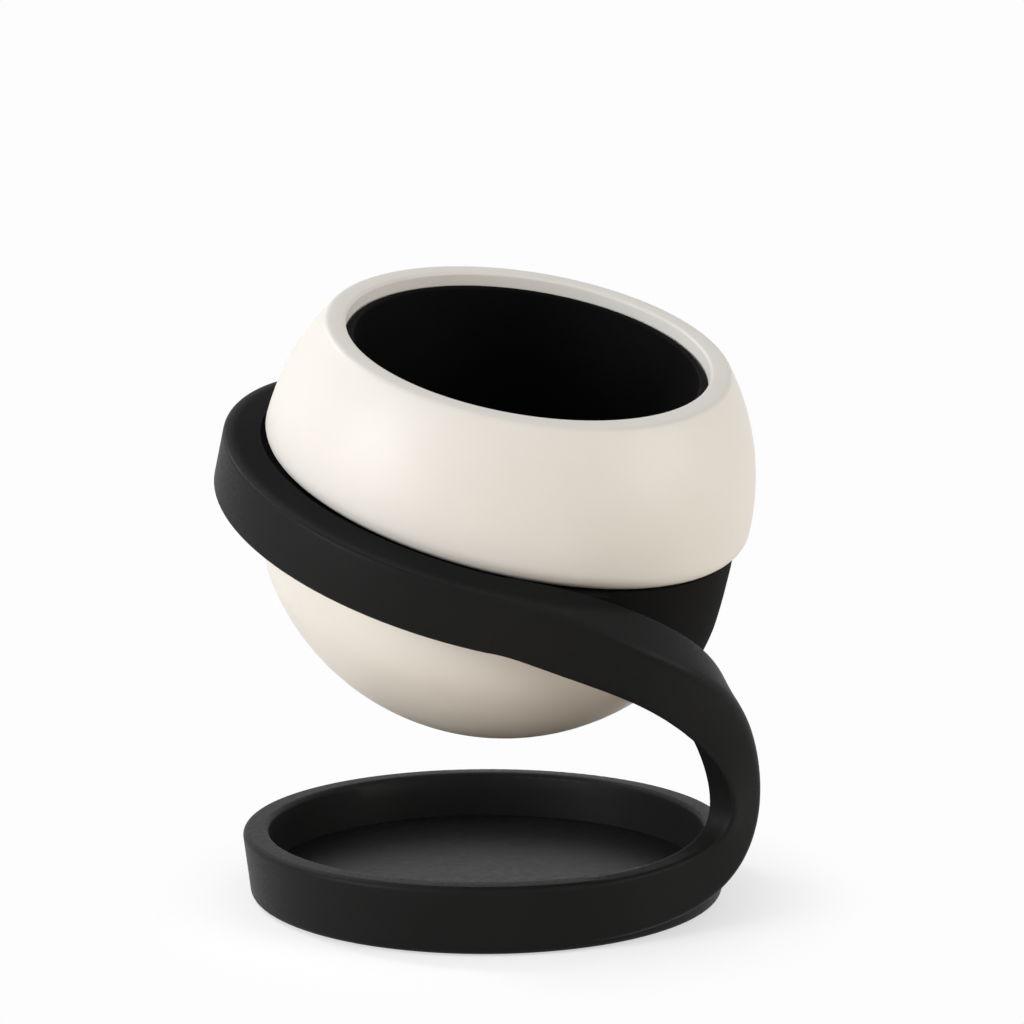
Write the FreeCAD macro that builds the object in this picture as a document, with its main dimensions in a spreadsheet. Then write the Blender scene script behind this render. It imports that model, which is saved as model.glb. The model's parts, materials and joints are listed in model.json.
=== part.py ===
import FreeCAD, Part
import math
import os
import Sketcher

# Swivelling pen pot held in a ribbon stand.
#
# One ribbon makes the whole stand: it is the wall of a round tray, lifts off it at the front
# right, bends back on itself like a letter C and becomes a tilted belt round the pot.  Inside the
# belt a thin cradle hugs the pot, which turns in it on a glide ring.
#
# Millimetres and degrees.  +Z is up and the origin is the centre of the tray on the surface that
# the stand rests on.  The swivel axis leans towards -Y.  "Level" is a height along the swivel
# axis, counted from the pot's centre.

Vector = FreeCAD.Vector
document = FreeCAD.newDocument("SwivelPenPot")
sheet = document.addObject("Spreadsheet::Sheet", "Sizes")

DRIVING_SIZES = {
    # tray
    "tray_radius": 51.2,
    "tray_taper": 1.7,
    "tray_rim_height": 13.9,
    "tray_rim_width": 5.4,
    "tray_draft": 0.6,
    "rim_round": 1.2,
    "foot_round": 1.3,
    "foot_reveal": 0.4,
    "floor_skin": 1.3,
    "mat_thickness": 0.7,
    "disc_edge_round": 0.25,
    "mat_gap": 0.3,
    # base
    "pad_thickness": 0.8,
    "ballast_thickness": 1.4,
    "recess_wall": 6.1,
    "recess_gap": 0.2,
    "ballast_screw_count": 3,
    "ballast_screw_circle": 30.0,
    "ballast_screw_radius": 1.25,
    "ballast_screw_head": 2.3,
    "thread_gap": 0.05,
    # where the pot hangs
    "pot_offset": 7.0,
    "pot_height": 87.6,
    "swivel_tilt": 21.05,
    "mouth_skew": 5.8,
    # upper shell
    "cap_radius": 50.7,
    "cap_wall": 3.2,
    "cap_edge_level": -0.8,
    "cap_edge_round": 3.4,
    "mouth_inset": 14.0,
    "rim_width": 4.0,
    "mouth_lip": 2.7,
    "mouth_sleeve": 2.2,
    "mouth_sleeve_depth": 9.0,
    "rim_outer_round": 1.6,
    "rim_inner_round": 0.7,
    "cap_flange_thickness": 3.6,
    # lower bowl
    "bowl_swell": 0.6,
    "bowl_drop": 2.6,
    "bowl_wall": 2.5,
    "neck_step": 4.4,
    "shoulder_radius": 20.5,
    # collar between the two shells
    "collar_ledge": 4.0,
    "collar_gap": 0.3,
    "collar_flange": 0.9,
    "sleeve_wall": 1.6,
    "sleeve_gap": 0.2,
    "sleeve_length": 8.4,
    "bead_height": 0.5,
    "bead_depth": 6.6,
    "collar_screw_inset": 1.9,
    "collar_screw_count": 6,
    "collar_screw_radius": 1.15,
    "collar_screw_head": 1.9,
    "collar_screw_grip": 2.6,
    "screw_head_height": 1.4,
    "screw_socket": 0.9,
    "screw_end_gap": 0.3,
    # liner
    "liner_gap": 0.2,
    "liner_wall": 1.6,
    "liner_draft": 7.5,
    "liner_foot_gap": 1.87,
    "liner_foot_round": 3.0,
    "liner_screw_radius": 1.5,
    "liner_screw_head": 2.8,
    "liner_screw_length": 6.0,
    "post_radius": 4.2,
    # cradle and belt
    "running_gap": 0.4,
    "cradle_wall": 1.4,
    "cradle_lip": 0.6,
    "cradle_bulge": 0.6,
    "bulge_level": -16.3,
    "cradle_round": 34.0,
    "lip_gap": 0.4,
    "glide_thickness": 0.8,
    "glide_gap": 0.1,
    "cradle_low_level": 29.0,
    "belt_gap": 0.6,
    "belt_thickness": 7.3,
    "belt_height": 11.4,
    "belt_top_drop": 0.8,
    "belt_top_slope": 1.15,
    "belt_round": 0.8,
    "belt_start": 125.0,
    "belt_end": 232.0,
    "root_turn": 24.0,
    "tail_sink": 0.4,
    "lip_start": -60.0,
    "lip_turn": 86.0,
    "sail_turn": -45.0,
    # rings that run in grooves between the bowl and the cradle
    "drag_ring_section": 1.4,
    "drag_ring_depth": 3.0,
    "drag_gap": 0.05,
    "catch_ring_section": 1.2,
    "catch_ring_depth": 8.6,
    "catch_ring_split": 10.0,
    "ring_play": 0.1,
}

for row, (name, value) in enumerate(DRIVING_SIZES.items(), start=1):
    sheet.set("A%d" % row, name)
    sheet.set("B%d" % row, str(value))
    sheet.setAlias("B%d" % row, name)
document.recompute()


class Size:
    """A length or an angle that knows its value and the sheet expression that gives it."""

    def __init__(self, value, text):
        self.value = value
        self.text = text

    def __add__(self, other):
        other = as_size(other)
        return Size(self.value + other.value, "(%s + %s)" % (self.text, other.text))

    def __sub__(self, other):
        other = as_size(other)
        return Size(self.value - other.value, "(%s - %s)" % (self.text, other.text))

    def __mul__(self, other):
        other = as_size(other)
        return Size(self.value * other.value, "(%s * %s)" % (self.text, other.text))

    def __truediv__(self, other):
        other = as_size(other)
        return Size(self.value / other.value, "(%s / %s)" % (self.text, other.text))

    def __neg__(self):
        return Size(-self.value, "(0 - %s)" % self.text)


def as_size(thing):
    return thing if isinstance(thing, Size) else Size(float(thing), repr(float(thing)))


def size(name):
    return Size(float(sheet.get(name)), "Sizes." + name)


def leg(hypotenuse, other_leg):
    """The third side of a right-angled triangle."""
    hypotenuse, other_leg = as_size(hypotenuse), as_size(other_leg)
    value = math.sqrt(hypotenuse.value ** 2 - other_leg.value ** 2)
    return Size(value, "sqrt(%s ^ 2 - %s ^ 2)" % (hypotenuse.text, other_leg.text))


# ---------------------------------------------------------------- frames

def swivel_place(turn=0.0, shift=0.0):
    """The swivel frame: Z is the swivel axis and X turns about it.  A shift moves it along X."""
    tilt = FreeCAD.Rotation(Vector(1, 0, 0), size("swivel_tilt").value)
    centre = Vector(0, -size("pot_offset").value, size("pot_height").value)
    rotation = tilt.multiply(FreeCAD.Rotation(Vector(0, 0, 1), turn))
    return FreeCAD.Placement(centre + rotation.multVec(Vector(shift, 0, 0)), rotation)


UPRIGHT = FreeCAD.Placement()
SWIVEL = swivel_place()
# The mouth's axis leans a little from the swivel axis, so the rim swings round as the pot turns.
MOUTH_SKEW = FreeCAD.Rotation(Vector(0, 1, 0), -size("mouth_skew").value)
MOUTH = SWIVEL * FreeCAD.Placement(Vector(), MOUTH_SKEW)


# ---------------------------------------------------------------- sketches and features

def origin_plane(body, role):
    return [plane for plane in body.Origin.OriginFeatures if plane.Role == role][0]


def new_sketch(body, name, role="XZ_Plane", turn=None):
    """A sketch on one of the body's own origin planes, turned in that plane if asked."""
    sketch = body.newObject("Sketcher::SketchObject", name)
    sketch.AttachmentSupport = (origin_plane(body, role), [""])
    sketch.MapMode = "FlatFace"
    if turn is not None:
        sketch.AttachmentOffset = FreeCAD.Placement(Vector(), FreeCAD.Rotation(turn.value, 0, 0))
        sketch.setExpression("AttachmentOffset.Rotation.Angle", turn.text)
    return sketch


def short_arc(start, end, radius):
    """The short arc from start to end that bulges to the right of its way for a positive radius
    and to the left for a negative one, as an arc that runs anticlockwise."""
    if radius < 0:
        start, end = end, start
    chord = end - start
    depth = math.sqrt(radius ** 2 - (chord.Length / 2) ** 2)
    left = Vector(-chord.y, chord.x, 0).normalize()
    centre = (start + end) * 0.5 + left * depth
    first = math.atan2(start.y - centre.y, start.x - centre.x)
    last = math.atan2(end.y - centre.y, end.x - centre.x)
    circle = Part.Circle(centre, Vector(0, 0, 1), abs(radius))
    return Part.ArcOfCircle(circle, first, last)


def bind(sketch, kind, where, amount):
    """A sketch constraint whose value comes from the sheet."""
    number = sketch.addConstraint(Sketcher.Constraint(kind, *where, amount.value))
    sketch.setExpression("Constraints[%d]" % number, amount.text)


def draw_outline(sketch, corners):
    """A closed outline.  A corner is (x, y), or (x, y, radius) where an arc leaves it: the arc
    bulges to the right of its way for a positive radius, to the left for a negative one."""
    points = [Vector(as_size(c[0]).value, as_size(c[1]).value, 0) for c in corners]
    starts, ends = [], []
    for index, corner in enumerate(corners):
        here, there = points[index], points[(index + 1) % len(points)]
        if len(corner) == 3:
            sketch.addGeometry(short_arc(here, there, as_size(corner[2]).value))
        else:
            sketch.addGeometry(Part.LineSegment(here, there))
        forward = (sketch.Geometry[index].StartPoint - here).Length < 1e-6
        starts.append(1 if forward else 2)
        ends.append(2 if forward else 1)
    for index, corner in enumerate(corners):
        following = (index + 1) % len(corners)
        join = Sketcher.Constraint("Coincident", index, ends[index], following, starts[following])
        sketch.addConstraint(join)
        bind(sketch, "DistanceX", (-1, 1, index, starts[index]), as_size(corner[0]))
        bind(sketch, "DistanceY", (-1, 1, index, starts[index]), as_size(corner[1]))
        if len(corner) == 3:
            bend = Size(abs(as_size(corner[2]).value), "abs(%s)" % as_size(corner[2]).text)
            bind(sketch, "Radius", (index,), bend)


def new_body(label, place=UPRIGHT):
    body = document.addObject("PartDesign::Body", label)
    body.Label = label
    body.Placement = place
    return body


def turn_profile(body, name, corners, angle=360.0, skew=None, cut=False):
    """Revolve an outline about the body's Z axis, or about the skewed mouth axis."""
    sketch = new_sketch(body, name + "_outline", turn=skew)
    draw_outline(sketch, corners)
    feature = body.newObject("PartDesign::Groove" if cut else "PartDesign::Revolution", name)
    feature.Profile = sketch
    feature.ReferenceAxis = (sketch, ["V_Axis"])
    feature.Angle = as_size(angle).value
    feature.setExpression("Angle", as_size(angle).text)
    document.recompute()
    return feature


def ring_edges(feature, rings):
    """Names of the full circles of a feature with the given (radius, level) pairs."""
    names = []
    for radius, level in rings:
        wanted = (as_size(radius).value, as_size(level).value)
        for number, edge in enumerate(feature.Shape.Edges, start=1):
            if not isinstance(edge.Curve, Part.Circle):
                continue
            found = (edge.Curve.Radius, edge.Curve.Center.z)
            if math.dist(found, wanted) < 1e-3:
                names.append("Edge%d" % number)
    return names


def round_edges(body, name, feature, rings, radius):
    rounding = body.newObject("PartDesign::Fillet", name)
    rounding.Base = (feature, ring_edges(feature, rings))
    rounding.Radius = radius.value
    rounding.setExpression("Radius", radius.text)
    document.recompute()
    return rounding


def drill_ring(body, name, hole_radius, circle_radius, count, level, depth, cone=0.0):
    """Equal holes on a circle, drilled up from a level by a depth, or down where it is negative.
    A cone angle narrows them on the way."""
    sketch = new_sketch(body, name + "_outline", role="XY_Plane")
    sketch.AttachmentOffset = FreeCAD.Placement(Vector(0, 0, level.value), FreeCAD.Rotation())
    sketch.setExpression("AttachmentOffset.Base.z", level.text)
    centre = Vector(circle_radius.value, 0, 0)
    sketch.addGeometry(Part.Circle(centre, Vector(0, 0, 1), hole_radius.value))
    sketch.addConstraint(Sketcher.Constraint("PointOnObject", 0, 3, -1))
    bind(sketch, "DistanceX", (-1, 1, 0, 3), circle_radius)
    bind(sketch, "Radius", (0,), hole_radius)
    hole = body.newObject("PartDesign::Pocket", name)
    hole.Profile = sketch
    hole.Length = abs(depth.value)
    hole.setExpression("Length", "abs(%s)" % depth.text)
    hole.Reversed = depth.value > 0
    hole.TaperAngle = cone
    document.recompute()
    pattern = body.newObject("PartDesign::PolarPattern", name + "_pattern")
    pattern.Originals = [hole]
    pattern.Axis = (sketch, ["N_Axis"])
    pattern.Angle = 360
    pattern.Occurrences = int(count.value)
    pattern.setExpression("Occurrences", count.text)
    body.Tip = pattern
    document.recompute()
    return pattern


def make_ring(label, centre_radius, centre_level, section, turn=360.0):
    """A round-section ring about the swivel axis."""
    body = new_body(label, SWIVEL)
    sketch = new_sketch(body, label + "_outline")
    centre = Vector(centre_radius.value, centre_level.value, 0)
    radius = section / 2
    sketch.addGeometry(Part.Circle(centre, Vector(0, 0, 1), radius.value))
    bind(sketch, "DistanceX", (-1, 1, 0, 3), centre_radius)
    bind(sketch, "DistanceY", (-1, 1, 0, 3), centre_level)
    bind(sketch, "Radius", (0,), radius)
    ring = body.newObject("PartDesign::Revolution", label + "_ring")
    ring.Profile = sketch
    ring.ReferenceAxis = (sketch, ["V_Axis"])
    ring.Angle = as_size(turn).value
    ring.setExpression("Angle", as_size(turn).text)
    document.recompute()
    return body


# ---------------------------------------------------------------- sizes that follow from others

pad_top = size("pad_thickness")
ballast_top = pad_top + size("ballast_thickness")
floor_top = ballast_top + size("floor_skin")
mat_top = floor_top + size("mat_thickness")
tray_foot_radius = size("tray_radius") - size("tray_taper")
tray_floor_radius = size("tray_radius") - size("tray_rim_width") - size("tray_draft")
recess_radius = tray_foot_radius - size("recess_wall")

cap_inner_radius = size("cap_radius") - size("cap_wall")
mouth_radius = size("cap_radius") - size("mouth_inset")
mouth_level = leg(size("cap_radius"), mouth_radius + size("rim_width"))
bowl_radius = size("cap_radius") + size("bowl_swell")
neck_radius = bowl_radius - size("neck_step")
collar_low_level = size("cap_edge_level") - size("collar_flange")
glide_top_level = collar_low_level - size("glide_gap")
cradle_top_level = glide_top_level - size("glide_thickness")

cradle_inner_radius = neck_radius + size("running_gap")
cradle_outer_radius = cradle_inner_radius + size("cradle_wall")
lip_inner_radius = cradle_outer_radius - size("cradle_lip")
lip_top_level = size("cap_edge_level") - size("lip_gap")
belt_low_level = -size("belt_top_drop") - size("belt_height")
belt_bore_radius = size("cap_radius") + size("belt_gap")
belt_radius = belt_bore_radius + size("belt_thickness")

bowl_inner_radius = neck_radius - size("bowl_wall")
sleeve_outer_radius = bowl_inner_radius - size("sleeve_gap")
sleeve_inner_radius = sleeve_outer_radius - size("sleeve_wall")
collar_inner_radius = sleeve_inner_radius - size("collar_ledge")
collar_outer_radius = lip_inner_radius - size("collar_gap")
collar_screw_circle = collar_inner_radius + size("collar_screw_inset")
shoulder_centre_radius = neck_radius - size("shoulder_radius")
shoulder_reach = bowl_radius - size("shoulder_radius")
shoulder_level = -size("bowl_drop") - leg(shoulder_reach, shoulder_centre_radius)


def bowl_side(offset):
    """Radius and level where a surface that lies offset inside the bowl's outside (outside it if
    negative) goes over from the shoulder's arc to the big sphere."""
    share = (bowl_radius - offset) / shoulder_reach
    radius = shoulder_centre_radius * share
    level = (shoulder_level + size("bowl_drop")) * share - size("bowl_drop")
    return radius, level


drag_ring_radius = cradle_inner_radius - size("drag_gap") - size("drag_ring_section") / 2
drag_ring_level = glide_top_level - size("drag_ring_depth")
catch_ring_radius = cradle_inner_radius - size("running_gap") / 2
catch_ring_level = glide_top_level - size("catch_ring_depth")

liner_top = mouth_level - size("mouth_lip")
liner_foot_radius = mouth_radius - size("liner_gap") - size("liner_draft")
liner_reach = bowl_radius - size("bowl_wall") - size("liner_foot_gap")
liner_bottom = -size("bowl_drop") - leg(liner_reach, liner_foot_radius)
liner_floor = liner_bottom + size("liner_wall")

COUNTERSINK = -45.0


# ---------------------------------------------------------------- tray

def make_tray():
    """The dish that the ribbon grows out of, with a recess below for the ballast and the pad."""
    body = new_body("tray_turned")
    wall_top = size("tray_rim_height")
    inner_rim = size("tray_radius") - size("tray_rim_width")
    corners = [
        (0, ballast_top),
        (recess_radius, ballast_top),
        (recess_radius, size("foot_reveal")),
        (tray_foot_radius, size("foot_reveal")),
        (size("tray_radius"), wall_top),
        (inner_rim, wall_top),
        (tray_floor_radius, floor_top),
        (0, floor_top),
    ]
    dish = turn_profile(body, "dish", corners)
    rim = [(size("tray_radius"), wall_top), (inner_rim, wall_top)]
    rounded = round_edges(body, "rim_rounding", dish, rim, size("rim_round"))
    foot = [(tray_foot_radius, size("foot_reveal"))]
    rounded = round_edges(body, "foot_rounding", rounded, foot, size("foot_round"))
    circle, count = size("ballast_screw_circle"), size("ballast_screw_count")
    hole = size("ballast_screw_radius") + size("thread_gap")
    drill_ring(body, "screw_hole", hole, circle, count, ballast_top, size("floor_skin"))
    sink = size("ballast_screw_head") + size("thread_gap")
    drill_ring(body, "countersink", sink, circle, count, floor_top, hole - sink, COUNTERSINK)
    return body


# ---------------------------------------------------------------- ribbon arm

# The ribbon's way round, from the end of the belt to the tray's wall.  Each pole of its three
# smooth curves is a named place on the way.
RIBBON_SECTIONS = 20
RIBBON_CROWDING = 0.16
RIBBON_LEAD_IN = 9.0
RIBBON_LEAD_OUT = 28.0
RIBBON_END_AZIMUTH = -121.0

# azimuth about the tray's axis, how far out and how high the middle of the outer face is: beyond
# the belt's radius and from the pot's height for the upper places, from the tray's rim below
RIBBON_UPPER_WAY = {
    "peel": (-107.5, 2.0, -30.6),
    "shoulder": (-86.5, 3.5, -40.0),
}
RIBBON_LOWER_WAY = {
    "bend": (-69.8, 10.9, 16.8),
    "landing": (-70.0, 8.0, -1.6),
}
# how far the outward direction swings from the radial one, how far it leans up, and the width
RIBBON_FACING = {
    "peel": (-7.5, -54.0, 14.8),
    "shoulder": (-11.5, -50.0, 12.4),
    "bend": (-16.5, -10.5, 7.9),
    "landing": (-15.0, 5.5, 10.4),
}
# thickness, rounding of the upper edge and rise of the top face towards the inside
RIBBON_SECTION = {
    "peel": (9.4, 1.3, 0.5),
    "shoulder": (8.7, 2.6, 0.0),
    "bend": (7.3, 2.5, 0.0),
    "landing": (5.2, 1.5, 0.0),
}
RIBBON_END_SINK = 0.5
RIBBON_INNER_ROUND = 0.5

# The ribbon starts half a degree inside the belt and a hair below its faces, and reaches into the
# bore that is cut later, so that all of them join in clean edges.
SEAM_OVERLAP = 0.5
SEAM_SINK = 0.02
BORE_OVERLAP = 1.0


def smooth_curve(poles):
    """A cubic B-spline with even knots that starts at the first pole and ends at the last."""
    spans = len(poles) - 3
    knots = [step / spans for step in range(spans + 1)]
    multiplicities = [4] + [1] * (spans - 1) + [4]
    curve = Part.BSplineCurve()
    curve.buildFromPolesMultsKnots(poles, multiplicities, knots, False, 3)
    return curve


def named_poles(poles):
    return [Vector(*pole) for pole in poles.values()]


def placed_poles(poles, radius, height):
    """Poles given from a radius and a height."""
    start = Vector(0, radius.value, height.value)
    return [start + pole for pole in named_poles(poles)]


def cylindrical(point):
    return Vector(math.degrees(math.atan2(point.y, point.x)), math.hypot(point.x, point.y), point.z)


def belt_state(turn_past_end):
    """Place and facing of the belt's outer face at an angle past its end, in cylinder terms."""
    angle = math.radians(size("belt_end").value - 360 + turn_past_end)
    radial = Vector(math.cos(angle), math.sin(angle), 0)
    middle = -size("belt_top_drop").value - size("belt_height").value / 2
    radius = belt_radius.value - SEAM_SINK
    point = SWIVEL.multVec(radial * radius + Vector(0, 0, middle))
    facing = SWIVEL.Rotation.multVec(radial)
    way = cylindrical(point)
    swing = math.degrees(math.atan2(facing.y, facing.x)) - way.x
    lean = math.degrees(math.asin(facing.z))
    return way, Vector(swing, lean, size("belt_height").value - 2 * SEAM_SINK)


def ribbon_curves():
    """Three curves along the ribbon: its way, its facing with the width, and its section."""
    start_way, start_facing = belt_state(-SEAM_OVERLAP)
    lead_turn = math.degrees(RIBBON_LEAD_IN / belt_radius.value)
    lead_facing = belt_state(lead_turn)[1]
    tangent = belt_state(0.01 - SEAM_OVERLAP)[0] - start_way
    lead_way = start_way + tangent * (lead_turn / 0.01)
    depth = size("belt_thickness").value + BORE_OVERLAP
    rise = size("belt_top_slope").value * depth / size("belt_thickness").value
    belt_section = Vector(depth, size("belt_round").value, rise)

    wall_lean = math.atan2(size("tray_radius").value - tray_foot_radius.value,
                           size("tray_rim_height").value - size("foot_reveal").value)
    end_height = (size("tray_rim_height").value + size("foot_reveal").value) / 2
    end_radius = (size("tray_radius").value + tray_foot_radius.value) / 2 - RIBBON_END_SINK
    end_width = size("tray_rim_height").value - size("foot_reveal").value - 2 * RIBBON_END_SINK
    end_turn = math.degrees(RIBBON_LEAD_OUT / end_radius)
    end_way = Vector(RIBBON_END_AZIMUTH, end_radius, end_height)
    lead_out = Vector(RIBBON_END_AZIMUTH + end_turn, end_radius + RIBBON_END_SINK, end_height)
    end_facing = Vector(0, -math.degrees(wall_lean), end_width)
    wall = tray_foot_radius.value - tray_floor_radius.value
    end_section = Vector(wall - 2 * RIBBON_END_SINK, size("rim_round").value, 0)

    upper_way = placed_poles(RIBBON_UPPER_WAY, belt_radius, size("pot_height"))
    lower_way = placed_poles(RIBBON_LOWER_WAY, size("tray_radius"), size("tray_rim_height"))
    way = [start_way, lead_way] + upper_way + lower_way + [lead_out, end_way]
    facing = [start_facing, lead_facing] + named_poles(RIBBON_FACING) + [end_facing] * 2
    section = [belt_section] * 2 + named_poles(RIBBON_SECTION) + [end_section] * 2
    return smooth_curve(way), smooth_curve(facing), smooth_curve(section)


def rounded_wire(place, corners, radii):
    """A closed wire with rounded corners in the plane of a placement."""
    edges, joints = [], []
    count = len(corners)
    for index, corner in enumerate(corners):
        before = (corners[index - 1] - corner).normalize()
        after = (corners[(index + 1) % count] - corner).normalize()
        half_angle = before.getAngle(after) / 2
        reach = radii[index] / math.tan(half_angle)
        bisector = (before + after).normalize()
        middle = corner + bisector * (radii[index] / math.sin(half_angle) - radii[index])
        joints.append((corner + before * reach, middle, corner + after * reach))
    for index, (start, middle, end) in enumerate(joints):
        edges.append(Part.Arc(*[place.multVec(p) for p in (start, middle, end)]).toShape())
        following = joints[(index + 1) % count][0]
        edges.append(Part.LineSegment(place.multVec(end), place.multVec(following)).toShape())
    return Part.Wire(edges)


def ribbon_section(curves, share):
    """The ribbon's cross-section at a share of its way."""
    way, slope = curves[0].getD1(share)
    swing, lean, width = curves[1].value(share)
    thickness, edge_round, rise = curves[2].value(share)
    azimuth = math.radians(way.x)
    radial = Vector(math.cos(azimuth), math.sin(azimuth), 0)
    tangential = Vector(-math.sin(azimuth), math.cos(azimuth), 0)
    point = radial * way.y + Vector(0, 0, way.z)
    along = radial * slope.y + tangential * (way.y * math.radians(slope.x)) + Vector(0, 0, slope.z)
    along.normalize()
    heading, climb = math.radians(way.x + swing), math.radians(lean)
    level_part = Vector(math.cos(heading), math.sin(heading), 0)
    outward = level_part * math.cos(climb) + Vector(0, 0, math.sin(climb))
    outward = (outward - along * outward.dot(along)).normalize()
    across = outward.cross(along)
    place = FreeCAD.Placement(point, FreeCAD.Rotation(outward, across, along, "XYZ"))
    half = width / 2
    corners = [
        Vector(0, -half, 0),
        Vector(0, half, 0),
        Vector(-thickness, half + rise, 0),
        Vector(-thickness, -half, 0),
    ]
    radii = [size("belt_round").value, edge_round, RIBBON_INNER_ROUND, RIBBON_INNER_ROUND]
    return rounded_wire(place, corners, radii)


def make_ribbon():
    curves = ribbon_curves()
    shares = [step / (RIBBON_SECTIONS - 1) for step in range(RIBBON_SECTIONS)]
    # the sections stand closer together towards the tray, where the way is longest
    crowded = [share + RIBBON_CROWDING * math.sin(math.pi * share) for share in shares]
    sections = [ribbon_section(curves, share) for share in crowded]
    ribbon = document.addObject("Part::Feature", "arm_ribbon")
    ribbon.Label = "arm_ribbon"
    ribbon.Shape = Part.makeLoft(sections, True, False)
    return ribbon


# ---------------------------------------------------------------- belt and cradle

def belt_outline(outer_radius, inner_radius):
    """The belt's section: its top face rises towards the inside."""
    rise = (outer_radius - inner_radius) * size("belt_top_slope") / size("belt_thickness")
    top = -size("belt_top_drop")
    return [
        (inner_radius, belt_low_level),
        (outer_radius, belt_low_level),
        (outer_radius, top),
        (inner_radius, top + rise),
    ]


def round_belt(body, feature, outer_radius):
    edges = [(outer_radius, belt_low_level), (outer_radius, -size("belt_top_drop"))]
    return round_edges(body, "edge_rounding", feature, edges, size("belt_round"))


def make_belt():
    """The wide part of the belt, from the left of the pot to where the ribbon leaves it."""
    body = new_body("belt_turned", swivel_place(size("belt_start").value))
    inner = cradle_inner_radius - size("running_gap")
    outline = belt_outline(belt_radius, inner)
    belt = turn_profile(body, "belt", outline, size("belt_end") - size("belt_start"))
    round_belt(body, belt, belt_radius)
    return body


def make_tail():
    """Behind the pot the belt narrows: half a turn about a shifted axis runs it into the cradle."""
    shift = (belt_radius - cradle_outer_radius + size("tail_sink")) / 2
    outer = belt_radius - shift
    body = new_body("tail_turned", swivel_place(size("belt_start").value - 180, -shift.value))
    inner = cradle_inner_radius - size("running_gap") - shift
    tail = turn_profile(body, "tail", belt_outline(outer, inner), 180)
    round_belt(body, tail, outer)
    return body


def make_root():
    """The solid root between the cradle and the ribbon's first stretch."""
    body = new_body("root_turned", swivel_place(size("belt_end").value))
    inner = cradle_inner_radius - size("running_gap")
    outer = belt_bore_radius - size("running_gap")
    top = lip_top_level
    corners = [(inner, belt_low_level), (outer, belt_low_level), (outer, top), (inner, top)]
    turn_profile(body, "root", corners, size("root_turn"))
    return body


# where the deep part of the cradle starts and is fully deep, as shares of the radius
SAIL_START = 0.42
SAIL_END = 0.9


def make_cradle():
    """A thin barrel that hugs the pot.  It is deep beside the arm and shallow elsewhere."""
    body = new_body("cradle_turned", swivel_place(size("sail_turn").value))
    low = -size("cradle_low_level")
    inner_arc = size("shoulder_radius") + size("running_gap")
    inner_low = shoulder_centre_radius + leg(inner_arc, shoulder_level - low)
    bulge, widest = cradle_outer_radius + size("cradle_bulge"), size("bulge_level")
    outer_low = bulge - size("cradle_round") + leg(size("cradle_round"), widest - low)
    rise = lip_top_level - widest
    upper_round = (rise * rise + size("cradle_bulge") * size("cradle_bulge")) / (size("cradle_bulge") * 2)
    corners = [
        (outer_low, low, size("cradle_round")),
        (bulge, widest, upper_round),
        (cradle_outer_radius, lip_top_level),
        (cradle_inner_radius, lip_top_level),
        (cradle_inner_radius, shoulder_level, -inner_arc),
        (inner_low, low),
    ]
    turn_profile(body, "barrel", corners)
    sketch = new_sketch(body, "sail_outline")
    far = belt_radius
    sweep_start, sweep_end = far * SAIL_START, cradle_outer_radius * SAIL_END
    run = sweep_end - sweep_start
    fall = belt_low_level - low
    sweep_radius = (run * run + fall * fall) / (fall * 4)
    middle_level = (belt_low_level + low) / 2
    corners = [
        (-far, belt_low_level),
        (-far, low * 2),
        (far, low * 2),
        (far, low),
        (sweep_end, low, -sweep_radius),
        ((sweep_start + sweep_end) / 2, middle_level, sweep_radius),
        (sweep_start, belt_low_level),
    ]
    draw_outline(sketch, corners)
    pocket = body.newObject("PartDesign::Pocket", "sail")
    pocket.Profile = sketch
    pocket.Type = "ThroughAll"
    pocket.Midplane = True
    document.recompute()
    return body


def make_bore_tool():
    """What the pot, the glide ring and the catch ring take out of the belt and the cradle."""
    body = new_body("bore_tool", SWIVEL)
    groove_radius = catch_ring_radius + size("catch_ring_section") / 2 + size("ring_play") * 2
    groove_half = size("catch_ring_section") / 2 + size("ring_play") * 2
    groove_level = catch_ring_level
    corners = [
        (0, shoulder_level),
        (cradle_inner_radius, shoulder_level),
        (cradle_inner_radius, groove_level - groove_half),
        (groove_radius, groove_level - groove_half),
        (groove_radius, groove_level + groove_half),
        (cradle_inner_radius, groove_level + groove_half),
        (cradle_inner_radius, cradle_top_level),
        (lip_inner_radius, cradle_top_level),
        (lip_inner_radius, lip_top_level),
        (belt_bore_radius, lip_top_level),
        (belt_bore_radius, size("belt_height")),
        (0, size("belt_height")),
    ]
    turn_profile(body, "bore", corners)
    return body


def make_lip_tool():
    """Takes off the belt's upper lip where the tail gets too thin to carry it."""
    body = new_body("lip_tool", swivel_place(size("lip_start").value))
    inner, outer = cradle_inner_radius - size("running_gap"), belt_radius
    low, top = lip_top_level, size("belt_height")
    corners = [(inner, low), (outer, low), (outer, top), (inner, top)]
    turn_profile(body, "lip", corners, size("lip_turn"))
    return body


def make_stand_frame():
    """The casting: tray, ribbon, belt and cradle in one, bored for the pot."""
    stages = [make_tray(), make_ribbon(), make_belt(), make_tail(), make_root(), make_cradle()]
    whole = document.addObject("Part::MultiFuse", "stand_whole")
    whole.Shapes = stages
    tools = document.addObject("Part::MultiFuse", "stand_tools")
    tools.Shapes = [make_bore_tool(), make_lip_tool()]
    frame = document.addObject("Part::Cut", "stand_frame")
    frame.Label = "stand_frame"
    frame.Base = whole
    frame.Tool = tools
    document.recompute()
    return frame


# ---------------------------------------------------------------- tray fittings

def make_disc(label, radius, low, high):
    """A flat disc about the tray's axis with its top edge broken."""
    body = new_body(label)
    disc = turn_profile(body, label + "_disc", [(0, low), (radius, low), (radius, high), (0, high)])
    round_edges(body, label + "_edge", disc, [(radius, high)], size("disc_edge_round"))
    return body


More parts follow.
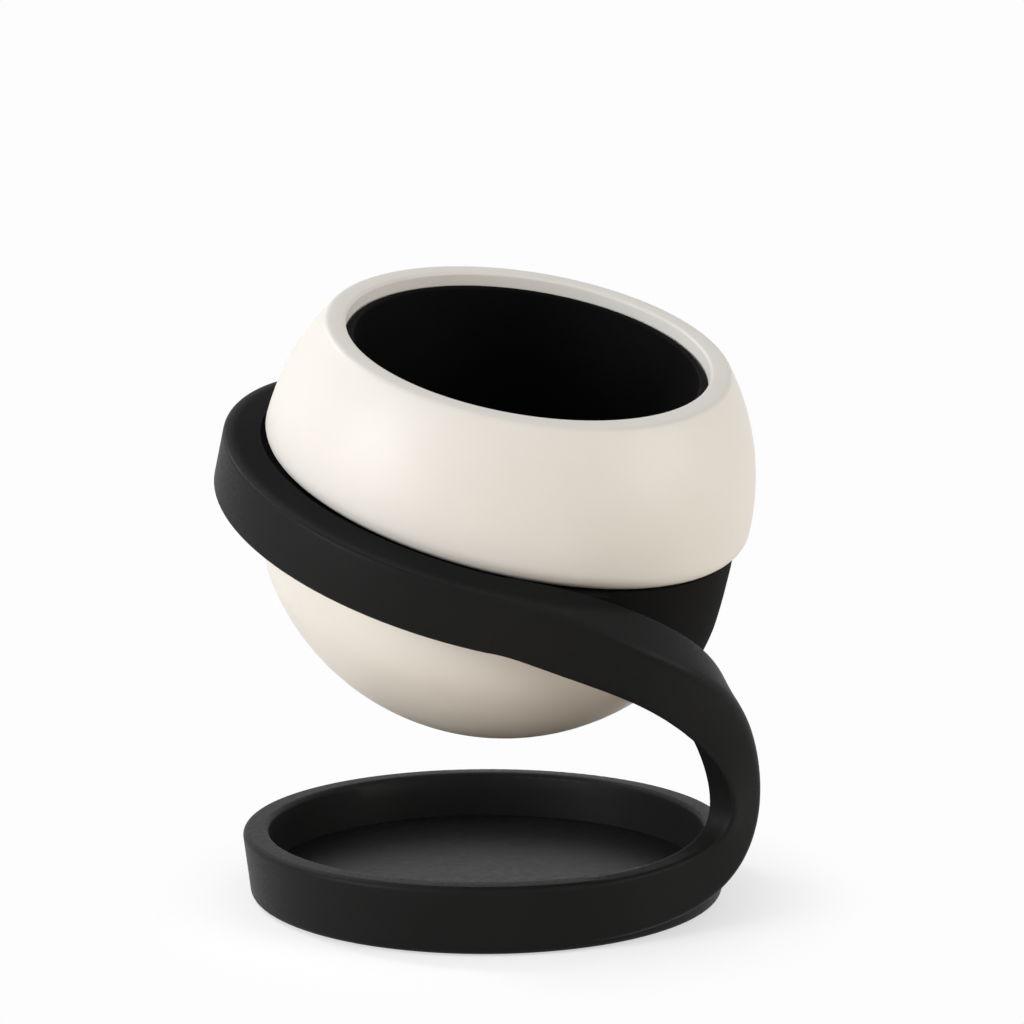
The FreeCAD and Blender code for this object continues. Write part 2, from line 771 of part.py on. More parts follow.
def make_tray_mat():
    """The soft mat that lines the tray's floor and hides the ballast screws."""
    return make_disc("tray_mat", tray_floor_radius - size("mat_gap"), floor_top, mat_top)


def make_ballast_disc():
    """The steel plate that keeps the leaning stand down."""
    body = make_disc("ballast_disc", recess_radius - size("recess_gap"), pad_top, ballast_top)
    hole = size("ballast_screw_radius") + size("thread_gap")
    drill_ring(body, "screw_hole", hole, size("ballast_screw_circle"),
               size("ballast_screw_count"), pad_top, size("ballast_thickness"))
    return body


def make_base_pad():
    """The rubber pad that the stand rests on."""
    body = new_body("base_pad")
    radius = recess_radius - size("recess_gap")
    corners = [(0, 0), (radius, 0), (radius, pad_top), (0, pad_top)]
    turn_profile(body, "pad", corners)
    return body


# ---------------------------------------------------------------- screws

def make_screw(name, shank, head, head_height, length, countersunk=False):
    """One screw: its shank points up, its head is below the zero level and has a socket."""
    body = new_body(name)
    if countersunk:
        corners = [(0, 0), (head, 0), (shank, head - shank), (shank, length), (0, length)]
        socket_level, socket_depth = as_size(0), (head - shank) * 0.8
    else:
        corners = [
            (0, -head_height),
            (head, -head_height),
            (head, 0),
            (shank, 0),
            (shank, length),
            (0, length),
        ]
        socket_level, socket_depth = -head_height, head_height * 0.6
    turn_profile(body, name + "_turned", corners)
    sketch = new_sketch(body, name + "_socket_outline", role="XY_Plane")
    sketch.AttachmentOffset = FreeCAD.Placement(Vector(0, 0, socket_level.value), FreeCAD.Rotation())
    sketch.setExpression("AttachmentOffset.Base.z", socket_level.text)
    reach = size("screw_socket").value
    points = [Vector(reach * math.cos(a), reach * math.sin(a), 0)
              for a in [math.radians(60 * side) for side in range(6)]]
    for side, point in enumerate(points):
        sketch.addGeometry(Part.LineSegment(point, points[(side + 1) % 6]))
    socket = body.newObject("PartDesign::Pocket", name + "_socket")
    socket.Profile = sketch
    socket.Length = socket_depth.value
    socket.setExpression("Length", socket_depth.text)
    socket.Reversed = True
    document.recompute()
    return body


# The ballast screws go in from above, the collar screws from below.
SCREW_FLIP = {
    "ballast_screws": FreeCAD.Placement(Vector(), FreeCAD.Rotation(Vector(1, 0, 0), 180)),
    "collar_screws": FreeCAD.Placement(),
}


def screw_ring(label, screw, place, circle_radius, count):
    """Copies of a screw on a circle, as one node."""
    copies = []
    for step in range(int(count.value)):
        turn = FreeCAD.Rotation(Vector(0, 0, 1), 360.0 * step / count.value)
        spot = FreeCAD.Placement(turn.multVec(Vector(circle_radius.value, 0, 0)), turn)
        copies.append(screw.Shape.transformed((spot * SCREW_FLIP[label]).Matrix))
    ring = document.addObject("Part::Feature", label)
    ring.Label = label
    ring.Shape = Part.makeCompound(copies)
    ring.Placement = place
    return ring


def make_ballast_screws():
    length = size("floor_skin") + size("ballast_thickness") - size("screw_end_gap")
    screw = make_screw("ballast_screw", size("ballast_screw_radius"), size("ballast_screw_head"),
                       size("screw_head_height"), length, countersunk=True)
    place = FreeCAD.Placement(Vector(0, 0, floor_top.value), FreeCAD.Rotation())
    return screw_ring("ballast_screws", screw, place, size("ballast_screw_circle"),
                      size("ballast_screw_count"))


def make_collar_screws():
    length = size("collar_flange") + size("collar_screw_grip")
    screw = make_screw("collar_screw", size("collar_screw_radius"), size("collar_screw_head"),
                       size("screw_head_height"), length)
    place = SWIVEL * FreeCAD.Placement(Vector(0, 0, collar_low_level.value), FreeCAD.Rotation())
    return screw_ring("collar_screws", screw, place, collar_screw_circle,
                      size("collar_screw_count"))


def make_liner_screw():
    body = make_screw("liner_screw", size("liner_screw_radius"), size("liner_screw_head"),
                      size("screw_head_height"), size("liner_screw_length"))
    head_down = FreeCAD.Rotation(Vector(1, 0, 0), 180)
    body.Placement = MOUTH * FreeCAD.Placement(Vector(0, 0, liner_floor.value), head_down)
    return body


# ---------------------------------------------------------------- pot

# how far the ball is drawn past its middle before it is trimmed, as a share of its radius
CAP_OVERRUN = 0.16


def make_upper_shell():
    """The upper half of the ball, with the mouth cut on a skewed axis."""
    body = new_body("upper_shell", SWIVEL)
    outer, inner, top = size("cap_radius"), cap_inner_radius, mouth_level
    mouth, sleeve = mouth_radius, mouth_radius + size("mouth_sleeve")
    overrun = -(outer * CAP_OVERRUN)
    corners = [
        (mouth, top),
        (leg(outer, top), top, -outer),
        (leg(outer, overrun), overrun),
        (leg(inner, overrun), overrun, inner),
        (sleeve, leg(inner, sleeve)),
        (sleeve, top - size("mouth_sleeve_depth")),
        (mouth, top - size("mouth_sleeve_depth")),
    ]
    ball = turn_profile(body, "ball", corners, skew=size("mouth_skew"))
    rim_level = top.value * math.cos(math.radians(size("mouth_skew").value))
    rim = [(leg(outer, top), rim_level)]
    ball = round_edges(body, "rim_rounding", ball, rim, size("rim_outer_round"))
    rim = [(mouth, rim_level)]
    round_edges(body, "mouth_rounding", ball, rim, size("rim_inner_round"))
    edge = size("cap_edge_level")
    far = outer * 2
    turn_profile(body, "trim", [(0, -far), (far, -far), (far, edge), (0, edge)], cut=True)
    flange_top = edge + size("cap_flange_thickness")
    flange_outer = leg(inner, flange_top) + size("cap_wall") / 4
    bore = collar_inner_radius
    corners = [(bore, edge), (flange_outer, edge), (flange_outer, flange_top), (bore, flange_top)]
    flanged = turn_profile(body, "flange", corners)
    edges = [(leg(outer, edge), edge)]
    round_edges(body, "edge_rounding", flanged, edges, size("cap_edge_round"))
    hole = size("collar_screw_radius") + size("thread_gap")
    depth = size("collar_screw_grip") + size("screw_end_gap")
    drill_ring(body, "screw_hole", hole, collar_screw_circle, size("collar_screw_count"),
               edge, depth)
    return body


def make_swivel_collar():
    """The black ring between the shells: a flange that rides on the glide ring and a sleeve that
    snaps into the bowl."""
    body = new_body("swivel_collar", SWIVEL)
    outer, inner = sleeve_outer_radius, sleeve_inner_radius
    low, top = collar_low_level, size("cap_edge_level")
    sleeve_low = low - size("sleeve_length")
    bead, height = low - size("bead_depth"), size("bead_height")
    corners = [
        (collar_inner_radius, low),
        (inner, low),
        (inner, sleeve_low),
        (outer, sleeve_low),
        (outer, bead - height),
        (outer + height, bead),
        (outer, bead + height),
        (outer, low),
        (collar_outer_radius, low),
        (collar_outer_radius, top),
        (collar_inner_radius, top),
    ]
    turn_profile(body, "collar", corners)
    hole = size("collar_screw_radius") + size("thread_gap")
    drill_ring(body, "screw_hole", hole, collar_screw_circle, size("collar_screw_count"),
               low, size("collar_flange"))
    return body


def make_lower_bowl():
    """The lower half of the ball, necked in so that it drops through the cradle."""
    body = new_body("lower_bowl", SWIVEL)
    wall, play = size("bowl_wall"), size("ring_play")
    neck, inner = neck_radius, bowl_inner_radius
    outer_side, inner_side = bowl_side(as_size(0)), bowl_side(wall)
    bowl, arc = bowl_radius, size("shoulder_radius")
    bottom = -size("bowl_drop") - bowl
    drag_floor = drag_ring_radius - size("drag_ring_section") / 2 - play
    drag_half = size("drag_ring_section") / 2 + play
    catch_floor = catch_ring_radius - size("catch_ring_section") / 2 - play
    catch_half = size("catch_ring_section") / 2 + play
    bead, bead_room = collar_low_level - size("bead_depth"), size("bead_height") + size("sleeve_gap")
    corners = [
        (inner, collar_low_level),
        (neck, collar_low_level),
        (neck, drag_ring_level + drag_half),
        (drag_floor, drag_ring_level + drag_half),
        (drag_floor, drag_ring_level - drag_half),
        (neck, drag_ring_level - drag_half),
        (neck, catch_ring_level + catch_half),
        (catch_floor, catch_ring_level + catch_half),
        (catch_floor, catch_ring_level - catch_half),
        (neck, catch_ring_level - catch_half),
        (neck, shoulder_level, -arc),
        (outer_side[0], outer_side[1], -bowl),
        (0, bottom),
        (0, bottom + wall, bowl - wall),
        (inner_side[0], inner_side[1], arc - wall),
        (inner, shoulder_level),
        (inner, bead - bead_room),
        (inner + bead_room, bead),
        (inner, bead + bead_room),
    ]
    turn_profile(body, "bowl", corners)
    hole = size("liner_screw_radius") + size("thread_gap")
    reach = liner_floor - size("liner_screw_length") - size("screw_end_gap")
    foot = bottom + wall / 2
    corners = [
        (hole, liner_bottom),
        (size("post_radius"), liner_bottom),
        (size("post_radius"), foot),
        (0, foot),
        (0, reach),
        (hole, reach),
    ]
    turn_profile(body, "post", corners, skew=size("mouth_skew"))
    return body


def make_pen_liner():
    """The black cup inside the ball."""
    body = new_body("pen_liner", MOUTH)
    top_radius = mouth_radius - size("liner_gap")
    foot_radius, wall = liner_foot_radius, size("liner_wall")
    hole = size("liner_screw_radius") + size("thread_gap")
    corners = [
        (hole, liner_bottom),
        (foot_radius, liner_bottom),
        (top_radius, liner_top),
        (top_radius - wall, liner_top),
        (foot_radius - wall, liner_floor),
        (hole, liner_floor),
    ]
    cup = turn_profile(body, "cup", corners)
    foot = [(foot_radius, liner_bottom)]
    cup = round_edges(body, "foot_rounding", cup, foot, size("liner_foot_round"))
    floor = [(foot_radius - wall, liner_floor)]
    round_edges(body, "floor_rounding", cup, floor, size("liner_foot_round") - wall)
    return body


# ---------------------------------------------------------------- rings between pot and cradle

def make_glide_ring():
    """The slippery ring on the cradle's top that carries the pot."""
    body = new_body("glide_ring", SWIVEL)
    inner = cradle_inner_radius + size("ring_play")
    outer = lip_inner_radius - size("ring_play")
    low, top = cradle_top_level, glide_top_level
    turn_profile(body, "ring", [(inner, low), (outer, low), (outer, top), (inner, top)])
    return body


def make_drag_ring():
    """The rubber ring that gives the swivel its light drag."""
    return make_ring("drag_ring", drag_ring_radius, drag_ring_level, size("drag_ring_section"))


def make_catch_ring():
    """The split wire ring that stops the pot from being lifted out."""
    return make_ring("catch_ring", catch_ring_radius, catch_ring_level,
                     size("catch_ring_section"), as_size(360) - size("catch_ring_split"))


# ---------------------------------------------------------------- build, check and write

NODES = [
    make_stand_frame(),
    make_tray_mat(),
    make_ballast_disc(),
    make_ballast_screws(),
    make_base_pad(),
    make_glide_ring(),
    make_upper_shell(),
    make_swivel_collar(),
    make_collar_screws(),
    make_lower_bowl(),
    make_drag_ring(),
    make_catch_ring(),
    make_pen_liner(),
    make_liner_screw(),
]
document.recompute()

for item in document.Objects:
    if "Invalid" in item.State or "Error" in item.State:
        raise RuntimeError("feature %s is %s" % (item.Name, item.State))

os.makedirs("parts", exist_ok=True)
for node in NODES:
    shape = node.Shape
    if shape.isNull() or not shape.isValid():
        raise RuntimeError("node %s has no valid shape" % node.Label)
    shape.exportStep("parts/%s.step" % node.Label)
    print("%-14s %d solids %9.1f mm3" % (node.Label, len(shape.Solids), shape.Volume))
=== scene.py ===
# %% [markdown]
# # A swivelling pen pot in a ribbon stand
# The product is a cream ball with a wide mouth that holds pens.  It sits in a tilted black belt,
# and the belt, the arm and the wall of the round tray below are one ribbon.  This first step
# brings in the engineering model, which fixes every place and size.  The joint in its record says
# where the ball turns and which way its axis leans, so that no angle is typed twice.

# %% Load the frame
import json
import math

import bmesh
import bpy
from mathutils import Matrix, Vector


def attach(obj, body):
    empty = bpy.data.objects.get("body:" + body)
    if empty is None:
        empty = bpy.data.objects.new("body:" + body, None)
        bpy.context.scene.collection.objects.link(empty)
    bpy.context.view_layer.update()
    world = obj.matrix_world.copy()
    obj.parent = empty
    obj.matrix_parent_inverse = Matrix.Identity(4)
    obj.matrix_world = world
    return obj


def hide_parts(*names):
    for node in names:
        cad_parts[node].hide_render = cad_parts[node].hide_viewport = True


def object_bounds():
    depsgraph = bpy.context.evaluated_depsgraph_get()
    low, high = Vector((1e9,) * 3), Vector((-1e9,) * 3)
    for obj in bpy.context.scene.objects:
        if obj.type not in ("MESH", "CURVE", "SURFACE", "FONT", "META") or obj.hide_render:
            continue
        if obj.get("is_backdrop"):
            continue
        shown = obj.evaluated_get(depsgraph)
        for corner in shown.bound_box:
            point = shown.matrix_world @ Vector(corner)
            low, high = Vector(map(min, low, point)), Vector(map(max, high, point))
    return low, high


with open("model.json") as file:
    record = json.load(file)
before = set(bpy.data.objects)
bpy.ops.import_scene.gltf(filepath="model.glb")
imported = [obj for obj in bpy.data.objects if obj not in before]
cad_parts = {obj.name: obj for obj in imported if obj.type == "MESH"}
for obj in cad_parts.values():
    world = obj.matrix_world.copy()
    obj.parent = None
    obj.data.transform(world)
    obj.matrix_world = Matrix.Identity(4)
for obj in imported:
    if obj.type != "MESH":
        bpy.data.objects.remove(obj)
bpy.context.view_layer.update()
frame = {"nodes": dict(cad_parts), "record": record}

MM = 0.001
joint = frame["record"]["behaviour"]["joints"][0]
pivot = Vector(joint["pos_m"])
tilt = math.atan2(-joint["axis"][1], joint["axis"][2])
SWIVEL = Matrix.Translation(pivot) @ Matrix.Rotation(tilt, 4, "X")
print("pivot", [round(v, 4) for v in pivot], "tilt", round(math.degrees(tilt), 2), "degrees")

# %% [markdown]
# The mouth's axis leans a little from the swivel axis, so the rim swings round as the ball turns.
# `leaning(share)` is the swivel frame leant over by a share of that skew: 0 at the belt, 1 at the
# rim.  The rings of the upper shell use the shares between.

# %% The two frames of the ball
MOUTH_SKEW = math.radians(5.8)


def leaning(share):
    return SWIVEL @ Matrix.Rotation(-MOUTH_SKEW * share, 4, "Y")


MOUTH = leaning(1.0)

# %% [markdown]
# Round pieces are drawn as half a cross-section and turned round an axis, as on a lathe.  An
# outline is a list of (radius, level) points in millimetres.  Two helpers write the usual
# stretches: `arc` for a round one, and `rounded` for corners with a radius of their own.  Bevels
# could round the corners too, but points in the outline keep every piece at its exact size.

# %% Outline helpers
def arc(centre, radius, start, end, count):
    """Points on an arc, from the start to the end angle in degrees."""
    points = []
    for step in range(count + 1):
        angle = math.radians(start + (end - start) * step / count)
        across, up = radius * math.cos(angle), radius * math.sin(angle)
        points.append((centre[0] + across, centre[1] + up))
    return points


def rounded(corners, closed=True, count=5):
    """Turns (x, y, radius) corners into points; a corner with radius 0 stays sharp."""
    points = []
    total = len(corners)
    for index, (x, y, radius) in enumerate(corners):
        corner = Vector((x, y))
        if radius == 0 or (not closed and index in (0, total - 1)):
            points.append((x, y))
            continue
        before = (Vector(corners[index - 1][:2]) - corner).normalized()
        after = (Vector(corners[(index + 1) % total][:2]) - corner).normalized()
        half = before.angle(after) / 2
        centre = corner + (before + after).normalized() * radius / math.sin(half)
        first = corner + before * radius / math.tan(half) - centre
        last = corner + after * radius / math.tan(half) - centre
        turn = first.angle_signed(last)
        for step in range(count + 1):
            spoke = first.copy()
            spoke.rotate(Matrix.Rotation(-turn * step / count, 2))
            points.append(tuple(centre + spoke))
    return points


# %% [markdown]
# A lathe piece starts as a circle with one vertex for each point of its outline.  The vertices go
# to the outline, and Spin carries it round the Z axis.  Where the outline starts and ends on the
# axis it is left open, and merging closes the poles.  The mesh is then moved to its place in the
# product, so the object itself stays at the origin.

# %% Lathe helper
ROUND_STEPS = 192
MERGE_WITHIN = 0.002 * MM
SMOOTH_BELOW = math.radians(32.0)


def start_clean():
    if bpy.context.object and bpy.context.object.mode != "OBJECT":
        bpy.ops.object.mode_set(mode="OBJECT")
    bpy.ops.object.select_all(action="DESELECT")


def finish_piece(piece, name, place, body, replaced):
    """Puts a new mesh in its place, gives it its shading, ties it to its body and hides the parts
    it replaces.
    """
    piece.name = name
    piece.data.name = name
    bpy.ops.object.mode_set(mode="EDIT")
    bpy.ops.mesh.select_all(action="SELECT")
    bpy.ops.mesh.remove_doubles(threshold=MERGE_WITHIN)
    bpy.ops.mesh.normals_make_consistent(inside=False)
    bpy.ops.object.mode_set(mode="OBJECT")
    piece.data.transform(place)
    bpy.ops.object.shade_smooth_by_angle(angle=SMOOTH_BELOW)
    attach(piece, body)
    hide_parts(*replaced)
    print(name, len(piece.data.polygons), "faces")
    return piece


def turned(name, outline, place, body, replaced, closed=True):
    """Spins an outline round Z.  One that starts and ends on the axis isn't closed."""
    start_clean()
    bpy.ops.mesh.primitive_circle_add(vertices=len(outline), radius=1)
    piece = bpy.context.object
    for vertex, (radius, level) in zip(piece.data.vertices, outline):
        vertex.co = (radius * MM, 0, level * MM)
    bpy.ops.object.mode_set(mode="EDIT")
    if not closed:
        mesh = bmesh.from_edit_mesh(piece.data)
        mesh.verts.ensure_lookup_table()
        last = mesh.edges.get((mesh.verts[0], mesh.verts[-1]))
        bmesh.ops.delete(mesh, geom=[last], context="EDGES")
        bmesh.update_edit_mesh(piece.data)
    bpy.ops.mesh.select_all(action="SELECT")
    bpy.ops.mesh.spin(steps=ROUND_STEPS, angle=2 * math.pi, center=(0, 0, 0), axis=(0, 0, 1))
    bpy.ops.object.mode_set(mode="OBJECT")
    return finish_piece(piece, name, place, body, replaced)


# %% [markdown]
# The upper shell is a slice of a ball, but its rim and its lower edge lie in planes that lean
# against each other, so one spin can't make it.  Instead it is a stack of rings.  Every ring of
# its outside is a circle on the same ball, and its axis leans a little more from the belt up to
# the rim.  Bridging neighbouring rings gives an exact ball with clean edges top and bottom.

# %% Ring helper
def ring_stack(name, rings, body, replaced):
    """rings: (radius, level, share of the skew), in order round the closed section."""
    start_clean()
    bpy.ops.mesh.primitive_circle_add(vertices=ROUND_STEPS, radius=1)
    piece = bpy.context.object
    bpy.ops.object.mode_set(mode="EDIT")
    before = Matrix.Identity(4)
    for index, (radius, level, share) in enumerate(rings):
        if index:
            bpy.ops.mesh.extrude_edges_move()
        height = Matrix.Translation((0, 0, level * MM))
        place = leaning(share) @ height @ Matrix.Scale(radius * MM, 4)
        mesh = bmesh.from_edit_mesh(piece.data)
        newest = [vertex for vertex in mesh.verts if vertex.select]
        bmesh.ops.transform(mesh, matrix=place @ before.inverted(), verts=newest)
        bmesh.update_edit_mesh(piece.data)
        before = place
    bpy.ops.mesh.select_all(action="DESELECT")
    bpy.ops.mesh.select_non_manifold()
    bpy.ops.mesh.bridge_edge_loops()
    bpy.ops.object.mode_set(mode="OBJECT")
    return finish_piece(piece, name, Matrix.Identity(4), body, replaced)


# %% [markdown]
# The shell's sizes: the ball's radius, its wall, the rim's plane and the rounded lower edge.  The
# black belt ends just below that edge, so the rounding throws the thin dark line that the eye
# reads as a gap.  Each rounding is an arc that touches the ball, so its centre is worked out from
# the two radii.

# %% Sizes of the upper shell
BALL, WALL = 50.7, 3.2
MOUTH_RADIUS, RIM_WIDTH = 36.7, 4.0
MOUTH_LEVEL = math.sqrt(BALL ** 2 - (MOUTH_RADIUS + RIM_WIDTH) ** 2)
EDGE_LEVEL, EDGE_ROUND = -0.8, 3.4
RIM_ROUND, RIM_INNER_ROUND = 1.6, 0.7
SLEEVE, SLEEVE_DEPTH = 2.2, 9.0
FLANGE_INNER, FLANGE_TOP = 38.6, 2.8
SPHERE_RINGS, INNER_RINGS = 26, 12

edge_height = EDGE_LEVEL + EDGE_ROUND
edge_centre = (math.sqrt((BALL - EDGE_ROUND) ** 2 - edge_height ** 2), edge_height)
edge_end = math.degrees(math.atan2(edge_centre[1], edge_centre[0]))
rim_height = MOUTH_LEVEL - RIM_ROUND
rim_centre = (math.sqrt((BALL - RIM_ROUND) ** 2 - rim_height ** 2), rim_height)
rim_start = math.degrees(math.atan2(rim_centre[1], rim_centre[0]))
lip_centre = (MOUTH_RADIUS + RIM_INNER_ROUND, MOUTH_LEVEL - RIM_INNER_ROUND)
inner = BALL - WALL
sleeve_outer = MOUTH_RADIUS + SLEEVE
inner_top = math.degrees(math.acos(sleeve_outer / inner))
inner_low = math.degrees(math.asin(FLANGE_TOP / inner))
print("rim", round(MOUTH_LEVEL, 2), "mm above the ball's middle")

# %% [markdown]
# The rings go once round the closed section: up the outside, over the rim, down inside the mouth,
# back along the inner wall and across the flange.  The share of the skew grows on the way up and
# shrinks on the way down.

# %% Upper shell
rings = [(x, z, 0.0) for x, z in arc(edge_centre, EDGE_ROUND, -90, edge_end, 7)]
for step in range(1, SPHERE_RINGS):
    share = step / SPHERE_RINGS
    angle = math.radians(edge_end + (rim_start - edge_end) * share)
    rings.append((BALL * math.cos(angle), BALL * math.sin(angle), share))
rings += [(x, z, 1.0) for x, z in arc(rim_centre, RIM_ROUND, rim_start, 90, 6)]
rings += [(x, z, 1.0) for x, z in arc(lip_centre, RIM_INNER_ROUND, 90, 180, 4)]
sleeve_foot = MOUTH_LEVEL - SLEEVE_DEPTH
rings += [(MOUTH_RADIUS, sleeve_foot, 1.0), (sleeve_outer, sleeve_foot, 1.0)]
for step in range(INNER_RINGS + 1):
    share = step / INNER_RINGS
    angle = math.radians(inner_top + (inner_low - inner_top) * share)
    rings.append((inner * math.cos(angle), inner * math.sin(angle), 1 - share))
rings += [(FLANGE_INNER, FLANGE_TOP, 0.0), (FLANGE_INNER, EDGE_LEVEL, 0.0)]
shell = ring_stack("shell_top", rings, "pot", ["upper_shell"])

# %% [markdown]
# The lower bowl goes over from a straight neck, which drops through the belt, to a ball a shade
# larger than the upper one.  Two arcs that touch draw that side: the shoulder and the ball.  The
# two grooves for the drag ring and the catch ring are cut into the neck, inside the belt.  Each is
# given as the radius of its floor, its level and half its height.

# %% Lower bowl
NECK, SHOULDER, BOWL, BOWL_DROP, BOWL_WALL = 46.9, 20.5, 51.3, 2.6, 2.5
COLLAR_LOW = -1.7
LIP_WIDTH, LIP_ROUND = 1.2, 0.4
DRAG = (45.75, -4.8, 0.8)
CATCH = (46.4, -10.4, 0.7)

shoulder_x = NECK - SHOULDER
shoulder_z = -BOWL_DROP - math.sqrt((BOWL - SHOULDER) ** 2 - shoulder_x ** 2)
touch = math.degrees(math.atan2(shoulder_z + BOWL_DROP, shoulder_x))


def bowl_side(offset):
    """The bowl's side from the neck to the axis, offset inwards."""
    side = arc((shoulder_x, shoulder_z), SHOULDER - offset, 0, touch, 14)
    return side + arc((0, -BOWL_DROP), BOWL - offset, touch, -90, 26)[1:]


grooves = []
for depth, level, half in (DRAG, CATCH):
    top, low = level + half, level - half
    grooves += [(NECK, top), (depth, top), (depth, low), (NECK, low)]
outside = rounded([
    (NECK - LIP_WIDTH, COLLAR_LOW, 0),
    (NECK, COLLAR_LOW, LIP_ROUND),
    (NECK, grooves[0][1], 0),
], closed=False)
inside = list(reversed(bowl_side(BOWL_WALL)))
outline = outside + grooves[1:] + bowl_side(0) + inside + [(NECK - BOWL_WALL, COLLAR_LOW)]
bowl = turned("shell_bowl", outline, SWIVEL, "pot", ["lower_bowl"], closed=False)

# %% [markdown]
# The liner is a plain tapered cup with a soft inner corner.  It stands 2.7 mm below the rim, so
# the rim shows a thin cream band inside before the black begins.

# %% Pen liner
LINER_TOP_RADIUS, LINER_FOOT_RADIUS, LINER_WALL = 36.5, 29.0, 1.6
LINER_BELOW_RIM, FOOT_GAP = 2.7, 1.87
LINER_TOP = MOUTH_LEVEL - LINER_BELOW_RIM
LINER_FOOT = -BOWL_DROP - math.sqrt((BOWL - BOWL_WALL - FOOT_GAP) ** 2 - LINER_FOOT_RADIUS ** 2)
outline = rounded([
    (0, LINER_FOOT, 0),
    (LINER_FOOT_RADIUS, LINER_FOOT, 3.0),
    (LINER_TOP_RADIUS, LINER_TOP, 0.6),
    (LINER_TOP_RADIUS - LINER_WALL, LINER_TOP, 0.6),
    (LINER_FOOT_RADIUS - LINER_WALL, LINER_FOOT + LINER_WALL, 1.4),
    (0, LINER_FOOT + LINER_WALL, 0),
], closed=False)
liner = turned("pen_cup", outline, MOUTH, "pot", ["pen_liner"], closed=False)

# %% [markdown]
# Two thin black rings fill the dark line between the ball and the belt: the collar, which turns
# with the ball, and the glide ring, which stays on the belt.  The collar's neck drops into the bowl
# and snaps in with a small bead.  Their edges are broken so that they catch a hair of light.

# %% Collar and glide ring
COLLAR_OUTER, COLLAR_BREAK = 47.8, 0.2
NECK_IN, NECK_OUT, NECK_FOOT = 42.6, 44.2, -10.1
BEAD, BEAD_LOW, BEAD_LEVEL, BEAD_TOP = 44.7, -8.8, -8.3, -7.8
GLIDE_IN, GLIDE_OUT, GLIDE_LOW, GLIDE_TOP = 47.4, 48.0, -2.6, -1.8

outline = rounded([
    (FLANGE_INNER, COLLAR_LOW, 0),
    (NECK_IN, COLLAR_LOW, 0),
    (NECK_IN, NECK_FOOT, 0),
    (NECK_OUT, NECK_FOOT, 0.3),
    (NECK_OUT, BEAD_LOW, 0),
    (BEAD, BEAD_LEVEL, 0.2),
    (NECK_OUT, BEAD_TOP, 0),
    (NECK_OUT, COLLAR_LOW, 0),
    (COLLAR_OUTER, COLLAR_LOW, COLLAR_BREAK),
    (COLLAR_OUTER, EDGE_LEVEL, COLLAR_BREAK),
    (FLANGE_INNER, EDGE_LEVEL, 0),
])
collar = turned("collar_ring", outline, SWIVEL, "pot", ["swivel_collar"])
outline = rounded([
    (GLIDE_IN, GLIDE_LOW, 0.1),
    (GLIDE_OUT, GLIDE_LOW, 0.1),
    (GLIDE_OUT, GLIDE_TOP, 0.15),
    (GLIDE_IN, GLIDE_TOP, 0.15),
])
glide = turned("glide_band", outline, SWIVEL, "stand", ["glide_ring"])

# %% [markdown]
# The stand is one casting, and its real difficulty is the ribbon: it leaves the belt, twists flat
# side up, bends back and lands on the tray's wall.  The engineering model already holds that form
# finely, so its mesh is copied, and its loose triangles are merged so that light runs over it
# smoothly.  The flat facets between sharp edges then shade as one surface.

# %% Stand
STAND_SMOOTH = math.radians(28.0)


def dressed_copy(node, name, body):
    """A merged, smooth-shaded copy of an engineering node."""
    start_clean()
    source = frame["nodes"][node]
    piece = source.copy()
    piece.data = source.data.copy()
    bpy.context.collection.objects.link(piece)
    piece.parent = None
    piece.matrix_world = Matrix.Identity(4)
    piece.name = name
    piece.data.name = name
    piece.select_set(True)
    bpy.context.view_layer.objects.active = piece
    bpy.ops.object.mode_set(mode="EDIT")
    bpy.ops.mesh.select_all(action="SELECT")
    bpy.ops.mesh.customdata_custom_splitnormals_clear()
    bpy.ops.mesh.remove_doubles(threshold=MERGE_WITHIN)
    bpy.ops.object.mode_set(mode="OBJECT")
    bpy.ops.object.shade_smooth_by_angle(angle=STAND_SMOOTH)
    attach(piece, body)
    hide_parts(node)
    print(name, len(piece.data.polygons), "faces")
    return piece


stand = dressed_copy("stand_frame", "ribbon_stand", "stand")

# %% [markdown]
# The small round under the tray is the one place where the engineering mesh is coarse, and its
# edge would look saw-toothed against the pale floor.  It is mended as by hand, in two steps.  First
# the round's own faces, and the flat ring inside it, are deleted.

# %% Open the foot
FOOT_TOP, RECESS, CLOSE = 1.56 * MM, 43.4 * MM, 0.02 * MM


def foot_face(face):
    """Whether a face belongs to the foot round or to the flat ring inside it."""
    reach = [vertex.co.xy.length for vertex in face.verts]
    low = all(vertex.co.z < FOOT_TOP for vertex in face.verts)
    outside = all(length > RECESS - CLOSE for length in reach)
    recess_wall = all(abs(length - RECESS) < CLOSE for length in reach)
    return low and outside and not recess_wall


start_clean()
stand.select_set(True)
bpy.context.view_layer.objects.active = stand
bpy.ops.object.mode_set(mode="EDIT")
bpy.ops.mesh.select_mode(type="FACE")
bpy.ops.mesh.select_all(action="DESELECT")
mesh = bmesh.from_edit_mesh(stand.data)
for face in mesh.faces:
    face.select = foot_face(face)
print("foot faces to replace", sum(face.select for face in mesh.faces))
bmesh.update_edit_mesh(stand.data)
bpy.ops.mesh.delete(type="FACE")

# %% [markdown]
# Then the open edge of the wall is extruded down along the same arc in even steps, each one a
# little lower and a little narrower, and the last step is bridged to the recess.

# %% Even foot round
FOOT_ARC_CENTRE, FOOT_ARC, FOOT_STEPS = (48.353, 1.7), 1.3, 8
WALL_FOOT_FROM = 49 * MM

